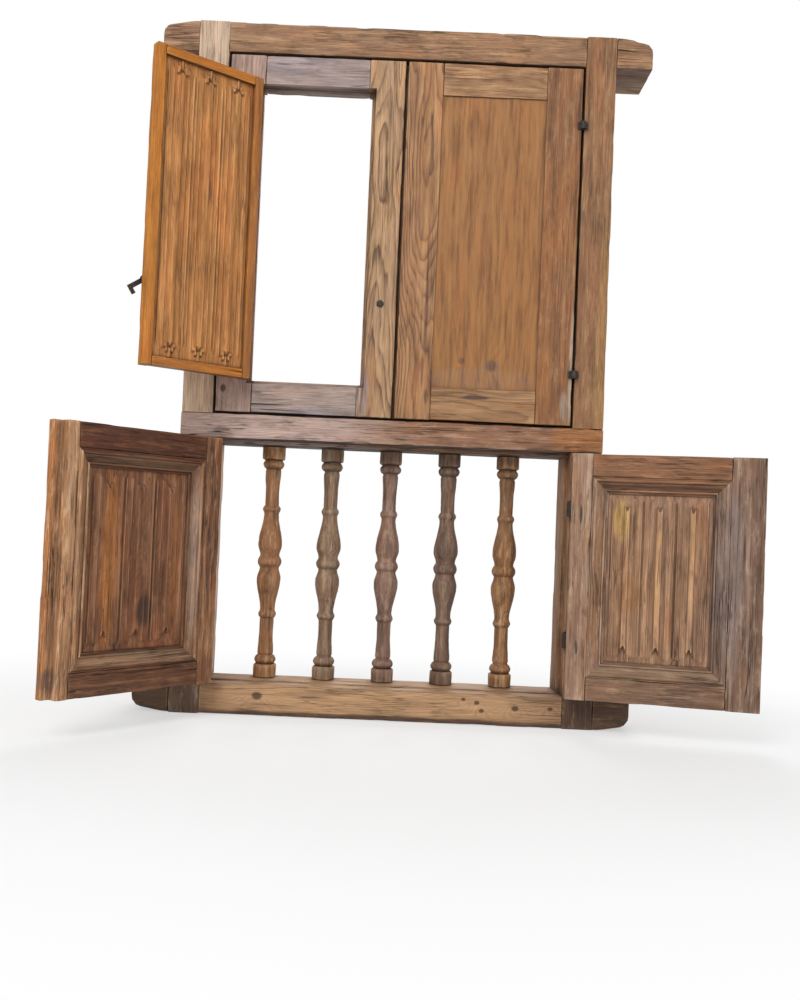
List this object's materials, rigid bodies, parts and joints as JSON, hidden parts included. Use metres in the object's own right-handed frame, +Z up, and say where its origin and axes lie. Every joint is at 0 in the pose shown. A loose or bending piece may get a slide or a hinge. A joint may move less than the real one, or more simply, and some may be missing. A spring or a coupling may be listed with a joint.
{
  "type": "wooden balcony window with balusters and shutters",
  "caption": "Old timber balcony window frame: turned balusters behind carved folding-open shutters below, framed leaves with a small carved wicket above.",
  "frame": {"origin": "middle of the sill's underside", "axes": "X along the sill, +Y to the street, +Z up; the shutters open to the room side, which is -Y"},
  "size_m": [1.5997, 0.5303, 1.715],
  "materials": {
    "sill_timber": "old pine, worn and waxed",
    "jamb_timber": "old pine, grey-brown and worn",
    "transom_timber": "old pine, checked along the grain",
    "baluster_timber": "turned hardwood, dark brown and dry",
    "left_shutter_timber": "carved pine, dark red-brown with worn ridges",
    "right_shutter_timber": "carved pine, grey-brown with worn ridges",
    "leaf_timber": "old pine with a bold grain",
    "leaf_panel_timber": "planed pine board, amber brown",
    "wicket_border_timber": "pine, waxed amber",
    "wicket_panel_timber": "carved pine, tan",
    "forged_iron": "forged by hand, dark and dull"
  },
  "bodies": {
    "frame": {"sill": "sill_timber", "left_jamb": "jamb_timber", "right_jamb": "jamb_timber", "transom": "transom_timber", "head": "sill_timber", "baluster_1": "baluster_timber", "baluster_2": "baluster_timber", "baluster_3": "baluster_timber", "baluster_4": "baluster_timber", "baluster_5": "baluster_timber", "left_leaf_hinge_stile": "leaf_timber", "left_leaf_meeting_stile": "leaf_timber", "left_leaf_bottom_rail": "leaf_timber", "left_leaf_top_rail": "leaf_timber", "right_leaf_hinge_stile": "leaf_timber", "right_leaf_meeting_stile": "leaf_timber", "right_leaf_bottom_rail": "leaf_timber", "right_leaf_top_rail": "leaf_timber", "right_leaf_panel": "leaf_panel_timber", "jamb_hinge_pins": "forged_iron", "wicket_hinge_pins": "forged_iron", "leaf_hinges": "forged_iron", "clenched_nail": "forged_iron"},
    "lower_left_shutter": {"lower_left_hinge_stile": "left_shutter_timber", "lower_left_meeting_stile": "left_shutter_timber", "lower_left_top_rail": "left_shutter_timber", "lower_left_bottom_rail": "left_shutter_timber", "lower_left_panel": "left_shutter_timber", "lower_left_hinge_eyes": "forged_iron"},
    "lower_right_shutter": {"lower_right_hinge_stile": "right_shutter_timber", "lower_right_meeting_stile": "right_shutter_timber", "lower_right_top_rail": "right_shutter_timber", "lower_right_bottom_rail": "right_shutter_timber", "lower_right_panel": "right_shutter_timber", "lower_right_hinge_eyes": "forged_iron"},
    "wicket": {"wicket_stiles": "wicket_border_timber", "wicket_rails": "wicket_border_timber", "wicket_panel": "wicket_panel_timber", "wicket_hinge_eyes": "forged_iron", "wicket_latch": "forged_iron"}
  },
  "joints": [
    {"name": "lower_left_hinge", "type": "hinge", "parent": "frame", "child": "lower_left_shutter", "pos_m": [-0.4435, -0.083, 0.377], "axis": [0, 0, 1], "range_deg": [-46.5, 128.5]},
    {"name": "lower_right_hinge", "type": "hinge", "parent": "frame", "child": "lower_right_shutter", "pos_m": [0.4435, -0.083, 0.377], "axis": [0, 0, 1], "range_deg": [-168, 7]},
    {"name": "wicket_hinge", "type": "hinge", "parent": "frame", "child": "wicket", "pos_m": [-0.3675, -0.083, 1.188], "axis": [0, 0, 1], "range_deg": [-35, 140]}
  ]
}
